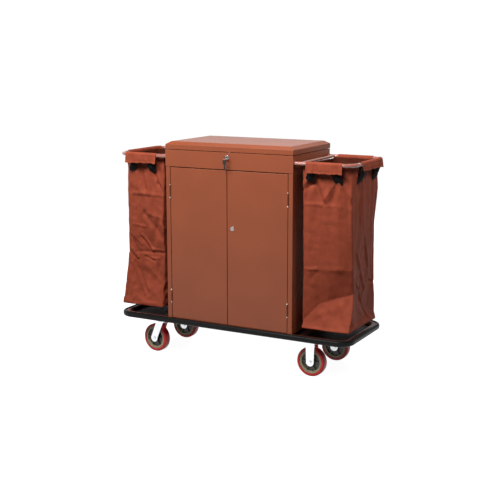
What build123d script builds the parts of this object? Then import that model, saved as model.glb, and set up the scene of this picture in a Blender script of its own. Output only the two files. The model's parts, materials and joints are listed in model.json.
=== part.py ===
from build123d import *
import math
import os

# Housekeeping cart. Millimetres, +X to the right, -Y towards the doors, +Z up.
# The origin is on the floor under the centre of the deck.

# ---- driving dimensions -------------------------------------------------------------------
deck_length = 1360.0          # over the bumper
deck_width = 480.0            # over the bumper
bumper_thickness = 12.0
bumper_bottom = 192.0
bumper_top = 222.0
bumper_corner_radius = 80.0
rim_width = 28.0
rim_bottom = 194.2
rim_top = 219.0
rim_wall = 2.5
rim_edge_radius = 11.0
pan_height = 200.0            # underside of the deck pan
pan_thickness = 2.0
pan_lip_height = 12.0
pan_corner_cut = 45.0

cabinet_half_width = 365.0
cabinet_half_depth = 220.0
cabinet_bottom = 219.3
cabinet_top = 1111.0
sheet = 1.5
post_width = 24.0
post_depth = 30.0
post_edge_radius = 1.4
fascia_bottom = 1027.0
fascia_top = 1111.4
fascia_proud = 1.6
fascia_edge_radius = 1.0
fascia_fold = 6.0

lid_half_width = 366.4
lid_half_depth = 221.6
lid_bottom = 1116.0
lid_shoulder = 1140.0
lid_top = 1155.0
lid_bevel_inset = 24.0
lid_edge_radius = 2.0
lid_hinge_y = 224.4
lid_hinge_z = 1114.0

door_bottom = 222.0
door_top = 1022.0
door_outer = 338.0
door_gap_left = -4.5
door_gap_right = -1.5
door_return = 18.0
door_sheet = 1.2
door_edge_radius = 2.0
door_hinge_x = 339.5
door_hinge_y = -223.5
door_hinge_centres = (341.0, 897.0)
door_hinge_length = 66.0
door_hinge_radius = 3.1
door_pin_radius = 1.6

shelf_heights = (486.0, 752.0)

hoop_height = 1076.0
hoop_tube_radius = 9.5
hoop_tube_bore = 8.0
hoop_leg_y = 205.7
hoop_end_x = 671.0
hoop_corner_radius = 66.0
hoop_bar_x = 393.0
hoop_bar_radius = 8.0

bag_inner_x = 400.0           # end of the bag that faces the cabinet
bag_outer_x = 660.0
bag_half_depth = 186.0
bag_bottom = 252.0
bag_top = 1050.0
bag_wall = 3.0
bag_corner_radius = 14.0

wheel_radius = 76.2           # six-inch casters
wheel_half_width = 20.0
tyre_inner_radius = 61.0
tyre_shoulder_radius = 9.0
axle_radius = 5.0
axle_hexagon = 15.0           # across flats
running_gap = 0.06
fork_inner = 23.6
fork_sheet = 3.0
fork_leg_half_width = 21.0
bridge_half_width = 24.0
plate_top = 190.3
plate_thickness = 4.0
plate_half_x = 50.0
plate_half_y = 42.5
plate_corner_radius = 8.0
plate_bolt_x = 40.0
plate_bolt_y = 30.0
kingpin_radius = 6.0
caster_trail = 40.0
caster_y = 152.0
rigid_x = 447.0
swivel_x = -445.0
front_left_turn = -5.0        # degrees that the front left caster is turned from straight

# ---- small parts and fits -----------------------------------------------------------------
slip = 0.3                    # room between sheets that slide past each other
touch = 0.1                   # room between parts that lie against each other
channel_half_width = 62.0
channel_sheet = 3.0
plate_hole_radius = 4.3
plate_bolt_radius = 4.0
plate_bolt_hexagon = 13.0     # across flats
kingpin_hole_radius = 12.5
bumper_edge_radius = 11.0
bumper_lip = 4.0
post_return = 14.0
hoop_screw_radius = 3.0
hoop_screw_hole = 3.3
hoop_plug_length = 18.0
hoop_screw_length = 17.0
collar_radius = 13.0
collar_length = 4.0
shelf_fold = 22.0
shelf_setback = 16.0
clip_y = 150.0
clip_half_width = 8.0
clip_reach = 14.0
clip_drop = 18.0
clip_sheet = 2.0
catch_x = 60.0
catch_half_width = 20.0
catch_front = -200.0
catch_rear = -188.5
catch_bottom = 1008.0
catch_top = 1029.7
door_lip = 12.0
hinge_tab_y = -204.0
hinge_cap_radius = 2.5
hinge_cap_height = 3.0
knuckle_gap = 0.2

lock_flange_radius = 11.0
lock_flange_thickness = 3.0
lock_body_length = 17.0
plug_proud = 3.6
slot_half_length = 4.2
slot_half_width = 0.75
cam_half_width = 8.0
cam_thickness = 2.0
cam_length = 37.0
lock_body_radius = 9.0
lock_plug_radius = 6.0
lid_lock_z = 1089.0
door_lock_x = 28.0
door_lock_z = 728.0

os.makedirs("parts", exist_ok=True)


# ---- helpers ------------------------------------------------------------------------------
def block(x0, x1, y0, y1, z0, z1):
    """A box between two corners."""
    centre = Pos((x0 + x1) / 2, (y0 + y1) / 2, (z0 + z1) / 2)
    return centre * Box(abs(x1 - x0), abs(y1 - y0), abs(z1 - z0))


def rod(axis, radius, start, end, a=0.0, b=0.0):
    """A cylinder along X, Y or Z from start to end; a and b are its other two coordinates."""
    middle = (start + end) / 2
    length = abs(end - start)
    if axis == "x":
        return Pos(middle, a, b) * Rot(0, 90, 0) * Cylinder(radius, length)
    if axis == "y":
        return Pos(a, middle, b) * Rot(90, 0, 0) * Cylinder(radius, length)
    return Pos(a, b, middle) * Cylinder(radius, length)


def rounded_slab(half_x, half_y, radius, z0, z1):
    """A flat slab with round corners, centred on the origin in plan."""
    outline = RectangleRounded(2 * half_x, 2 * half_y, radius)
    return Pos(0, 0, z0) * extrude(outline, z1 - z0)


def hexagon(across_flats, z0, z1):
    """A hexagonal prism along Z."""
    outline = RegularPolygon(across_flats / 2, 6, major_radius=False)
    return Pos(0, 0, z0) * extrude(outline, z1 - z0)


def mirrored_x(part):
    return mirror(part, Plane.YZ)


def save(name, part):
    solids = part.solids() if hasattr(part, "solids") else part
    shape = solids[0] if len(solids) == 1 else Compound(children=list(solids))
    shape.label = name
    export_step(shape, f"parts/{name}.step")


def group(pieces):
    """Separate solids that share one node."""
    solids = []
    for piece in pieces:
        solids += list(piece.solids())
    return Compound(children=solids)


# ---- deck ---------------------------------------------------------------------------------
rim_half_x = deck_length / 2 - bumper_thickness
rim_half_y = deck_width / 2 - bumper_thickness
rim_corner = bumper_corner_radius - bumper_thickness


def rim_ring(inset, z0, z1):
    """The band of the rim, inset from both its faces."""
    outer = rounded_slab(rim_half_x - inset, rim_half_y - inset, rim_corner - inset, z0, z1)
    width = rim_width - inset
    inner = rounded_slab(rim_half_x - width, rim_half_y - width, rim_corner - width, z0 - 1, z1 + 1)
    return outer - inner


def base_rim():
    """Rolled steel rim, open underneath, with both upper edges well rounded."""
    ring = rim_ring(0, rim_bottom, rim_top)
    ring = fillet(ring.faces().sort_by(Axis.Z)[-1].edges(), rim_edge_radius)
    hollow = rim_ring(rim_wall, rim_bottom - 5, rim_top - rim_wall)
    hollow = fillet(hollow.faces().sort_by(Axis.Z)[-1].edges(), rim_edge_radius - rim_wall)
    return ring - hollow


def cut_corner_slab(half_x, half_y, cut, z0, z1):
    """A flat slab with its four corners cut off."""
    slab = extrude(Rectangle(2 * half_x, 2 * half_y), z1 - z0)
    return Pos(0, 0, z0) * chamfer(slab.edges().filter_by(Axis.Z), cut)


def deck_pan():
    """Flat pan inside the rim, with an upturned lip and cut corners."""
    half_x = rim_half_x - rim_width - 2 * touch
    half_y = rim_half_y - rim_width - 2 * touch
    top = pan_height + pan_lip_height
    body = cut_corner_slab(half_x, half_y, pan_corner_cut, pan_height, top)
    inner_x = half_x - pan_thickness
    inner_y = half_y - pan_thickness
    inner_cut = pan_corner_cut - pan_thickness * (2 - math.sqrt(2))
    floor = pan_height + pan_thickness
    return body - cut_corner_slab(inner_x, inner_y, inner_cut, floor, top + 1)


def cross_members():
    """Two channels under the pan that carry the caster plates."""
    reach = rim_half_y - rim_width - slip
    outer = channel_half_width
    inner = outer - channel_sheet
    z0 = plate_top + 2 * touch
    members = []
    for x in (rigid_x, swivel_x):
        channel = block(x - outer, x + outer, -reach, reach, z0, pan_height)
        channel -= block(x - inner, x + inner, -reach - 1, reach + 1, z0 + channel_sheet, pan_height + 1)
        for y in (-caster_y, caster_y):
            for bx in (-plate_bolt_x, plate_bolt_x):
                for by in (-plate_bolt_y, plate_bolt_y):
                    channel -= rod("z", plate_hole_radius, z0 - 1, pan_height - 1, x + bx, y + by)
            channel -= rod("z", kingpin_hole_radius, z0 - 1, pan_height - 1, x, y)
        members.append(channel)
    return group(members)


def bumper():
    """D-section rubber strip that wraps the rim, with a lip over it and one under it."""
    half_x = deck_length / 2
    half_y = deck_width / 2
    strip = rounded_slab(half_x, half_y, bumper_corner_radius, bumper_bottom, bumper_top)
    strip = fillet(strip.faces().sort_by(Axis.Z)[-1].edges(), bumper_edge_radius)
    strip = fillet(strip.faces().sort_by(Axis.Z)[0].edges(), bumper_edge_radius)
    open_x = rim_half_x - bumper_lip
    open_y = rim_half_y - bumper_lip
    corner = rim_corner - bumper_lip
    opening = rounded_slab(open_x, open_y, corner, bumper_bottom - 1, bumper_top + 1)
    seat_x = rim_half_x + touch
    seat_y = rim_half_y + touch
    seat = rounded_slab(seat_x, seat_y, rim_corner, rim_bottom - touch, rim_top + touch)
    return strip - opening - seat


# ---- cabinet ------------------------------------------------------------------------------
def right_side_panel():
    """Side sheet folded into a front post and a rear flange."""
    outer = cabinet_half_width
    front = -cabinet_half_depth
    rear = cabinet_half_depth
    jamb = outer - post_width
    z0 = cabinet_bottom
    z1 = cabinet_top
    panel = block(outer - sheet, outer, front, rear, z0, z1)
    panel += block(jamb, outer, front, front + sheet, z0, z1)
    panel += block(jamb, jamb + sheet, front, front + post_depth, z0, z1)
    panel += block(jamb, jamb + post_return, front + post_depth - sheet, front + post_depth, z0, z1)
    panel += block(jamb, outer, rear - sheet, rear, z0, z1)
    corners = panel.edges().filter_by(Axis.Z).sort_by(Axis.X)[-2:]
    panel = fillet(corners, post_edge_radius)
    for y in (-hoop_leg_y, hoop_leg_y):
        panel -= rod("x", hoop_screw_hole, outer - 5, outer + 1, y, hoop_height)
    return panel


def back_panel():
    """Flat sheet inside the rear flanges of the side panels."""
    half = cabinet_half_width - sheet - slip
    y1 = cabinet_half_depth - sheet
    return block(-half, half, y1 - sheet, y1, cabinet_bottom + sheet + touch, cabinet_top)


def cabinet_floor():
    """Floor sheet that lies between the posts."""
    inner = cabinet_half_width - sheet - slip
    rear = cabinet_half_depth - sheet - touch
    jamb = cabinet_half_width - post_width - slip
    behind_posts = -cabinet_half_depth + post_depth + slip
    top = cabinet_bottom + sheet
    floor = block(-inner, inner, behind_posts, rear, cabinet_bottom, top)
    floor += block(-jamb, jamb, -cabinet_half_depth, rear, cabinet_bottom, top)
    return floor


def fascia():
    """Front band of the top box, slightly proud of the posts, with a folded upper edge."""
    half = cabinet_half_width + fascia_proud
    back = -cabinet_half_depth - touch
    front = back - fascia_proud - slip
    band = block(-half, half, front, back, fascia_bottom, fascia_top)
    band = fillet(band.faces().sort_by(Axis.Y)[0].edges(), fascia_edge_radius)
    jamb = cabinet_half_width - post_width - slip - touch
    fold_rear = -cabinet_half_depth + fascia_fold
    band += block(-jamb, jamb, front, fold_rear, fascia_bottom, fascia_bottom + sheet)
    band -= rod("y", lock_body_radius + touch, front - 5, back + 5, 0, lid_lock_z)
    return band


tray_half_x = 350.0
tray_front = -186.0
tray_rear = 212.0
tray_floor = 1030.0
tray_rim_z = cabinet_top + 0.6
tray_rim_thickness = 1.4
tray_columns = 3
tray_overhang_x = 364.8       # half width and depth of the rim
tray_overhang_y = 219.6
lock_notch = (-14.0, 60.0)    # notch in the rim for the lid's lock and strike
lock_notch_front = -215.0


def tray_shell():
    """Open tray that hangs on the top edges of the cabinet by its rim."""
    half_x = tray_half_x
    top = tray_rim_z + tray_rim_thickness
    shell = block(-half_x, half_x, tray_front, tray_rear, tray_floor, top)
    reach_x = tray_overhang_x
    reach_y = tray_overhang_y
    shell += block(-reach_x, reach_x, -reach_y, reach_y, tray_rim_z, top)
    inner_x = half_x - sheet
    shell -= block(-inner_x, inner_x, tray_front + sheet, tray_rear - sheet, tray_floor + sheet, top + 1)
    return shell - block(*lock_notch, lock_notch_front, tray_front - 5, tray_rim_z - 1, top + 1)


def tray_dividers():
    """Loose egg-crate divider: one long sheet and two cross sheets that make six compartments."""
    z0 = tray_floor + sheet + slip
    z1 = tray_rim_z
    inner_x = tray_half_x - sheet - slip
    y0 = tray_front + sheet + slip
    y1 = tray_rear - sheet - slip
    middle = (tray_front + tray_rear) / 2
    crate = block(-inner_x, inner_x, middle - sheet / 2, middle + sheet / 2, z0, z1)
    pitch = 2 * tray_half_x / tray_columns
    for index in range(1, tray_columns):
        x = -tray_half_x + index * pitch
        crate += block(x - sheet / 2, x + sheet / 2, y0, y1, z0, z1)
    return crate


def shelf(z):
    """Shelf sheet with a down-turned front and rear edge."""
    half = cabinet_half_width - sheet - 1.0
    front = -cabinet_half_depth + post_depth + 4
    rear = cabinet_half_depth - 2 * sheet - shelf_setback
    board = block(-half, half, front, rear, z - sheet, z)
    board += block(-half, half, front, front + sheet, z - shelf_fold, z)
    board += block(-half, half, rear - sheet, rear, z - shelf_fold, z)
    return board


def shelf_clips():
    """Small L-shaped clips on the side sheets, four under each shelf."""
    wall = cabinet_half_width - sheet
    clips = []
    for z in shelf_heights:
        top = z - sheet
        for y in (-clip_y, clip_y):
            y0 = y - clip_half_width
            y1 = y + clip_half_width
            clip = block(wall - clip_sheet, wall, y0, y1, top - clip_drop, top)
            clip += block(wall - clip_reach, wall, y0, y1, top - clip_sheet, top)
            clips += [clip, mirrored_x(clip)]
    return group(clips)


def door_catches():
    """One magnetic catch behind the top edge of each door, under the tray."""
    catches = []
    for x in (-catch_x, catch_x):
        x0 = x - catch_half_width
        x1 = x + catch_half_width
        catches.append(block(x0, x1, catch_front, catch_rear, catch_bottom, catch_top))
    return group(catches)


# ---- lid ----------------------------------------------------------------------------------
def lid_solid(inset, bottom, drop):
    """The bevelled lid shape, inset on its sides and lowered at the top."""
    half_x = lid_half_width - inset
    half_y = lid_half_depth - inset
    shoulder = lid_shoulder - drop
    skirt = block(-half_x, half_x, -half_y, half_y, bottom, shoulder)
    lower = Pos(0, 0, shoulder) * Rectangle(2 * half_x, 2 * half_y)
    size_x = 2 * (half_x - lid_bevel_inset)
    size_y = 2 * (half_y - lid_bevel_inset)
    upper = Pos(0, 0, lid_top - drop) * Rectangle(size_x, size_y)
    return skirt + loft([lower, upper])


def lid():
    """Folded lid with soft outer creases."""
    outer = lid_solid(0, lid_bottom, 0)
    open_edges = outer.faces().sort_by(Axis.Z)[0].edges()
    creases = [edge for edge in outer.edges() if edge not in open_edges]
    outer = fillet(creases, lid_edge_radius)
    return outer - lid_solid(sheet, lid_bottom - 1, sheet)


strike_left = 48.0
strike_right = 72.0
strike_sheet = 2.0
strike_bottom = 1066.0
strike_foot = 3.0
strike_foot_left = 26.0
strike_front = -208.0
strike_rear = -196.0
strike_plate = (1119.0, 1138.0)


def lid_strike():
    """Hook that hangs from the lid's front skirt and stands beside the lid lock's cam."""
    skirt = -lid_half_depth + sheet + touch
    z0, z1 = strike_plate
    arm_right = strike_left + strike_sheet
    foot_top = strike_bottom + strike_foot
    strike = block(strike_left, strike_right, skirt, skirt + sheet, z0, z1)
    strike += block(strike_left, arm_right, skirt, strike_rear, z0, z1)
    strike += block(strike_left, arm_right, strike_front, strike_rear, strike_bottom, z1)
    strike += block(strike_foot_left, arm_right, strike_front, strike_rear, strike_bottom, foot_top)
    return strike


hinge_knuckles = 15
hinge_half_length = 300.0
hinge_pitch = 2 * hinge_half_length / hinge_knuckles
hinge_barrel_radius = 2.9
hinge_pin_radius = 1.5
fixed_leaf = (222.0, 1084.0, 1110.5)      # outer face, bottom and top
lid_leaf = (223.0, 1117.4, 1138.0)


def lid_hinge_leaf(first, y0, y1, z0, z1):
    """One leaf of the piano hinge with every second knuckle, starting with the first given."""
    leaf = block(-hinge_half_length, hinge_half_length, y0, y1, z0, z1)
    near = z1 if z1 < lid_hinge_z else z0
    for index in range(first, hinge_knuckles, 2):
        x0 = -hinge_half_length + index * hinge_pitch + slip
        x1 = x0 + hinge_pitch - 2 * slip
        knuckle = rod("x", hinge_barrel_radius, x0, x1, lid_hinge_y, lid_hinge_z)
        leaf += knuckle + block(x0, x1, y0, y1, near, lid_hinge_z)
    bore = hinge_pin_radius + running_gap
    reach = hinge_half_length + 10
    return leaf - rod("x", bore, -reach, reach, lid_hinge_y, lid_hinge_z)


def lid_hinge_fixed_leaf():
    return lid_hinge_leaf(0, cabinet_half_depth + touch, *fixed_leaf)


def lid_hinge_lid_leaf():
    return lid_hinge_leaf(1, lid_half_depth + touch, *lid_leaf)


def lid_hinge_pin():
    length = hinge_half_length + 1
    return rod("x", hinge_pin_radius, -length, length, lid_hinge_y, lid_hinge_z)


# ---- doors --------------------------------------------------------------------------------
def door_pan(x0, x1):
    """Folded door: a face sheet with a return and an inner lip all round."""
    front = -cabinet_half_depth
    back = front + door_return
    lip = door_lip
    t = door_sheet
    pan = block(x0, x1, front, back, door_bottom, door_top)
    pan = fillet(pan.faces().sort_by(Axis.Y)[0].edges(), door_edge_radius)
    pan -= block(x0 + t, x1 - t, front + t, back - t, door_bottom + t, door_top - t)
    pan -= block(x0 + lip, x1 - lip, back - 2 * t, back + 1, door_bottom + lip, door_top - lip)
    return pan


def right_door():
    pan = door_pan(door_gap_right, door_outer)
    front = -cabinet_half_depth
    return pan - rod("y", lock_body_radius + touch, front - 5, front + 5, door_lock_x, door_lock_z)


def left_door():
    return door_pan(-door_outer, door_gap_left)


def hinge_barrel(z0, z1):
    return rod("z", door_hinge_radius, z0, z1, door_hinge_x, door_hinge_y)


def door_hinge_halves():
    """Upper barrels of the right-hand hinges, each with a tab along the door's edge."""
    halves = []
    x, y = door_hinge_x, door_hinge_y
    for z in door_hinge_centres:
        z0 = z + knuckle_gap
        z1 = z + door_hinge_length / 2
        half = hinge_barrel(z0, z1)
        half += block(door_outer + touch / 2, x - touch / 2, y, hinge_tab_y, z0, z1)
        half -= rod("z", door_pin_radius + running_gap, z - 1, z1 + 1, x, y)
        halves.append(half)
    return group(halves)


def frame_hinge_halves():
    """Lower barrels with their pins: the pin stands out of the frame half and has a cap at each end."""
    halves = []
    x, y = door_hinge_x, door_hinge_y
    jamb = cabinet_half_width - post_width
    for z in door_hinge_centres:
        z0 = z - door_hinge_length / 2
        cap = z + door_hinge_length / 2 + 0.5
        half = hinge_barrel(z0, z - knuckle_gap)
        half += block(x + touch / 2, jamb - touch / 2, y, hinge_tab_y, z0, z - knuckle_gap)
        half += rod("z", door_pin_radius, z0, cap, x, y)
        half += rod("z", hinge_cap_radius, z0 - hinge_cap_height, z0, x, y)
        half += rod("z", hinge_cap_radius, cap, cap + hinge_cap_height, x, y)
        halves += [half, mirrored_x(half)]
    return group(halves)


# ---- locks and keys -----------------------------------------------------------------------
def lock_body(x, z, face):
    """Housing of a cam lock: a flange on the face and a round body behind it."""
    rear = face + lock_body_length
    body = rod("y", lock_flange_radius, face - lock_flange_thickness, face, x, z)
    body = fillet(body.faces().sort_by(Axis.Y)[0].edges(), lock_flange_thickness / 2)
    body += rod("y", lock_body_radius, face, rear, x, z)
    return body - rod("y", lock_plug_radius + running_gap, face - 5, rear + 3, x, z)


def lock_plug(x, z, face, rear, slot_depth):
    """Plug with a level key slot cut across its face."""
    front = face - plug_proud
    plug = rod("y", lock_plug_radius, front, rear, x, z)
    x0, x1 = x - slot_half_length, x + slot_half_length
    z0, z1 = z - slot_half_width, z + slot_half_width
    return plug - block(x0, x1, front - 1, front + slot_depth, z0, z1)


def lock_cam(x, z, y0, direction):
    """Flat cam with a round end; direction is 1 for up and -1 for down."""
    y1 = y0 + cam_thickness
    end = z + direction * cam_length
    cam = rod("y", cam_half_width, y0, y1, x, z)
    cam += block(x - cam_half_width, x + cam_half_width, y0, y1, z, end)
    return cam + rod("y", cam_half_width, y0, y1, x, end)


lid_lock_face = -cabinet_half_depth - touch - fascia_proud - slip
door_lock_face = -cabinet_half_depth
key_half_thickness = 1.0
key_bow_end = -249.3
key_shoulder = -230.0
key_blade_half = 3.8
key_bow_half = 9.0
key_hole = (1.3, 8.3)         # ends of the slotted hole, from the end of the bow
key_hole_half = 3.2
lid_plug_rear = -203.2
door_plug_rear = -201.6
ring_rest_gap = 0.45
ring_radius = 7.4
ring_wire = 0.7
ring_y = key_bow_end - 0.3
ring_z = lid_lock_z + key_half_thickness + ring_wire + ring_rest_gap - ring_radius


def inserted_key():
    """Key in the lid lock: blade in the plug, shoulder, and a flat bow with a slotted hole."""
    z = lid_lock_z
    t = key_half_thickness
    blade = key_blade_half
    key = block(-blade, blade, key_shoulder - 1, lid_lock_face + 9, z - 0.6, z + 0.6)
    bow = block(-key_bow_half, key_bow_half, key_bow_end, key_shoulder, z - t, z + t)
    bow = fillet(bow.edges().filter_by(Axis.Z), 3.5)
    y0, y1 = (key_bow_end + end for end in key_hole)
    bow -= block(-key_hole_half, key_hole_half, y0, y1, z - 3, z + 3)
    return key + bow


def key_ring():
    """Round wire ring that hangs over the end of the bow."""
    return Pos(0, ring_y, ring_z) * Rot(0, 90, 0) * Torus(ring_radius, ring_wire)


def spare_key():
    """Second key, hanging flat from the bottom of the ring."""
    wire_z = ring_z - ring_radius
    hole_radius = 2.3
    hole_z = wire_z + ring_wire + 2 * touch - hole_radius
    top = hole_z + 4.4
    bow_end = top - 24
    t = key_half_thickness
    bow = block(-key_bow_half, key_bow_half, ring_y - t, ring_y + t, bow_end, top)
    bow = fillet(bow.edges().filter_by(Axis.Y), 4)
    bow -= rod("y", hole_radius, ring_y - 3, ring_y + 3, 0, hole_z)
    blade = block(-key_hole_half, key_hole_half, ring_y - 0.6, ring_y + 0.6, bow_end - 24, bow_end + 1)
    return bow + blade


# ---- hoops and bags -----------------------------------------------------------------------
def hoop_path():
    """Centre line of the right-hand hoop: two legs, two bends and the end rail."""
    start = cabinet_half_width + slip
    bend = hoop_end_x - hoop_corner_radius
    side = hoop_leg_y - hoop_corner_radius
    z = hoop_height
    slant = hoop_corner_radius * math.sqrt(0.5)
    lines = [
        Line((start, -hoop_leg_y, z), (bend, -hoop_leg_y, z)),
        ThreePointArc((bend, -hoop_leg_y, z), (bend + slant, -side - slant, z), (hoop_end_x, -side, z)),
        Line((hoop_end_x, -side, z), (hoop_end_x, side, z)),
        ThreePointArc((hoop_end_x, side, z), (bend + slant, side + slant, z), (bend, hoop_leg_y, z)),
        Line((bend, hoop_leg_y, z), (start, hoop_leg_y, z)),
    ]
    return Wire(lines)


def right_hoop():
    """Bent tube with a cross bar near the cabinet and a threaded plug in each end."""
    path = hoop_path()
    start = Plane(origin=path @ 0, z_dir=path % 0)
    tube = sweep(start * Circle(hoop_tube_radius), path=path)
    bore = sweep(start * Circle(hoop_tube_bore), path=path)
    x0 = cabinet_half_width + slip
    hoop = tube - bore
    reach = hoop_leg_y - hoop_tube_bore - 0.5
    hoop += rod("y", hoop_bar_radius, -reach, reach, hoop_bar_x, hoop_height)
    for y in (-hoop_leg_y, hoop_leg_y):
        hoop += rod("x", hoop_tube_bore + 0.3, x0, x0 + hoop_plug_length, y, hoop_height)
        thread = hoop_screw_radius + running_gap
        hoop -= rod("x", thread, x0 - 1, x0 + hoop_plug_length - 1, y, hoop_height)
    return hoop


def hoop_flanges():
    """Round collars where the hoop legs meet the cabinet sides."""
    collars = []
    x0 = cabinet_half_width + touch
    for y in (-hoop_leg_y, hoop_leg_y):
        collar = rod("x", collar_radius, x0, x0 + collar_length, y, hoop_height)
        collar -= rod("x", hoop_tube_radius + touch, x0 - 1, x0 + collar_length + 1, y, hoop_height)
        collars += [collar, mirrored_x(collar)]
    return group(collars)


def hoop_screws():
    """Screws through the side sheets into the ends of the hoops."""
    screws = []
    inside = cabinet_half_width - sheet - touch
    for y in (-hoop_leg_y, hoop_leg_y):
        screw = rod("x", hoop_screw_radius, inside - 2, inside + hoop_screw_length, y, hoop_height)
        screw += rod("x", 2 * hoop_screw_radius, inside - 4, inside, y, hoop_height)
        screws += [screw, mirrored_x(screw)]
    return group(screws)


def bag_slab(inset, z0, z1):
    x0 = bag_inner_x + inset
    x1 = bag_outer_x - inset
    half_y = bag_half_depth - inset
    slab = rounded_slab((x1 - x0) / 2, half_y, bag_corner_radius - inset, z0, z1)
    return Pos((x0 + x1) / 2, 0, 0) * slab


def right_bag():
    """Open-topped cloth bag."""
    return bag_slab(0, bag_bottom, bag_top) - bag_slab(bag_wall, bag_bottom + bag_wall, bag_top + 1)


flap_gap = 0.5
flap_cloth = 1.5
flap_outer_hem = 1033.0
flap_inner_hem = 1054.0
front_flap = (519.0, 178.0)   # middle and length along the rail
end_flap = (7.0, 262.0)
rear_flap = (502.0, 184.0)
strap_width = 44.0
strap_bottom = 985.0
strap_thickness = 1.5
strap_gap = 0.4
side_strap_places = (454.0, 590.0)
end_strap_places = (-80.0, 110.0)


def flap(length):
    """Cloth folded over a rail along X; its outer leg is on the -Y side."""
    inner = hoop_tube_radius + flap_gap
    outer = inner + flap_cloth
    half = length / 2
    top = rod("x", outer, -half, half, 0, hoop_height)
    top += block(-half, half, -outer, 0, flap_outer_hem, hoop_height)
    top += block(-half, half, 0, outer, flap_inner_hem, hoop_height)
    top -= rod("x", inner, -half - 1, half + 1, 0, hoop_height)
    return top - block(-half - 1, half + 1, -inner, inner, flap_outer_hem - 1, hoop_height)


def right_bag_flaps():
    """Three flaps: over the front leg, the end rail and the rear leg."""
    front = Pos(front_flap[0], -hoop_leg_y, 0) * flap(front_flap[1])
    end = Pos(hoop_end_x, end_flap[0], 0) * Rot(0, 0, 90) * flap(end_flap[1])
    rear = Pos(rear_flap[0], hoop_leg_y, 0) * Rot(0, 0, 180) * flap(rear_flap[1])
    return group([front, end, rear])


def right_bag_straps():
    """Two short straps on each of three sides, between the flap and the bag's wall."""
    half = strap_width / 2
    z0 = strap_bottom
    z1 = flap_outer_hem - 1
    straps = []
    for x in side_strap_places:
        for side in (-1, 1):
            y = side * (bag_half_depth + strap_gap)
            straps.append(block(x - half, x + half, y, y + side * strap_thickness, z0, z1))
    for y in end_strap_places:
        x = bag_outer_x + strap_gap
        straps.append(block(x, x + strap_thickness, y - half, y + half, z0, z1))
    return group(straps)


# ---- casters ------------------------------------------------------------------------------
# Each is made at the origin, trailing towards -X, and then placed under the deck.
core_half_width = 18.0
core_web_half = 6.0
core_ring_inner = 50.5
hub_radius = 17.0
hub_half_width = 23.0
spokes = 6
spoke_half_width = 2.5
spoke_half_depth = 14.0


def wheel_core():
    """Cast core: outer ring, thin web with ribs, and a bored hub."""
    core = rod("y", tyre_inner_radius - 0.02, -core_half_width, core_half_width)
    for side in (-1, 1):
        near = side * core_web_half
        far = side * (core_half_width + 1)
        core -= rod("y", core_ring_inner, near, far)
    core += rod("y", hub_radius, -hub_half_width, hub_half_width)
    rib = block(
        hub_radius - 2, core_ring_inner + 1.5,
        -spoke_half_depth, spoke_half_depth, -spoke_half_width, spoke_half_width,
    )
    for index in range(spokes):
        core += Rot(0, index * 360 / spokes, 0) * rib
    return core - rod("y", axle_radius + running_gap, -30, 30)


def wheel_tyre():
    """Tread with rounded shoulders."""
    tyre = rod("y", wheel_radius, -wheel_half_width, wheel_half_width)
    edges = tyre.edges().filter_by(GeomType.CIRCLE).sort_by(Axis.Y)
    tyre = fillet([edges[0], edges[-1]], tyre_shoulder_radius)
    return tyre - rod("y", tyre_inner_radius, -30, 30)


def axle():
    """Axle bolt with its head and nut outside the fork legs."""
    outer = fork_inner + fork_sheet
    bolt = rod("y", axle_radius, -outer - 1, outer + 10)
    head = Rot(90, 0, 0) * hexagon(axle_hexagon, outer + touch, outer + 6.5)
    nut = Rot(-90, 0, 0) * hexagon(axle_hexagon, outer + touch, outer + 8)
    return bolt + head + nut


def fork_leg(side, top_x0, top_x1, top_z):
    """One leg of a fork, from its top edge down to a round end about the axle."""
    width = fork_leg_half_width
    y0 = side * fork_inner
    # A tangent-like outline: the top edge and two points at the height of the axle.
    corners = [(top_x0, top_z), (top_x1, top_z), (width, 2), (-width, 2)]
    with BuildSketch(Plane.XZ) as outline:
        with BuildLine():
            Polyline(*corners, close=True)
        make_face()
        Circle(width)
    leg = extrude(outline.sketch, -side * fork_sheet)
    leg = Pos(0, y0, 0) * leg
    return leg


def axle_holes(part):
    return part - rod("y", axle_radius + running_gap, -40, 40)


def caster_plate():
    """Flat top plate with four bolt holes."""
    z0 = plate_top - plate_thickness
    plate = block(-plate_half_x, plate_half_x, -plate_half_y, plate_half_y, z0, plate_top)
    plate = fillet(plate.edges().filter_by(Axis.Z), plate_corner_radius)
    for x in (-plate_bolt_x, plate_bolt_x):
        for y in (-plate_bolt_y, plate_bolt_y):
            plate -= rod("z", plate_hole_radius, z0 - 1, plate_top + 1, x, y)
    return plate


def rigid_fork():
    """Fixed fork: two legs folded down from a bridge under the plate."""
    top = plate_top - plate_thickness
    local_top = top - wheel_radius
    half = bridge_half_width
    outer = fork_inner + fork_sheet
    fork = fork_leg(-1, -half, half, local_top) + fork_leg(1, -half, half, local_top)
    fork += block(-half, half, -outer, outer, local_top - fork_sheet, local_top)
    fork = Pos(0, 0, wheel_radius) * axle_holes(fork)
    return fork + caster_plate()


crown_top = 176.0
crown_thickness = 4.0
crown_radius = 33.0
crown_leg_half = 22.0
race_radius = 30.0
kingpin_head_radius = 11.0
kingpin_bottom = 164.0


def swivel_fork():
    """Swivelling fork: a round crown with two slanted legs, bored for the kingpin."""
    local_top = crown_top - wheel_radius
    x0 = caster_trail - crown_leg_half
    x1 = caster_trail + crown_leg_half
    fork = fork_leg(-1, x0, x1, local_top) + fork_leg(1, x0, x1, local_top)
    fork = Pos(-caster_trail, 0, wheel_radius) * axle_holes(fork)
    fork += rod("z", crown_radius, crown_top - crown_thickness, crown_top)
    return fork - rod("z", kingpin_radius + running_gap, kingpin_bottom - 4, crown_top + 14)


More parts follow.
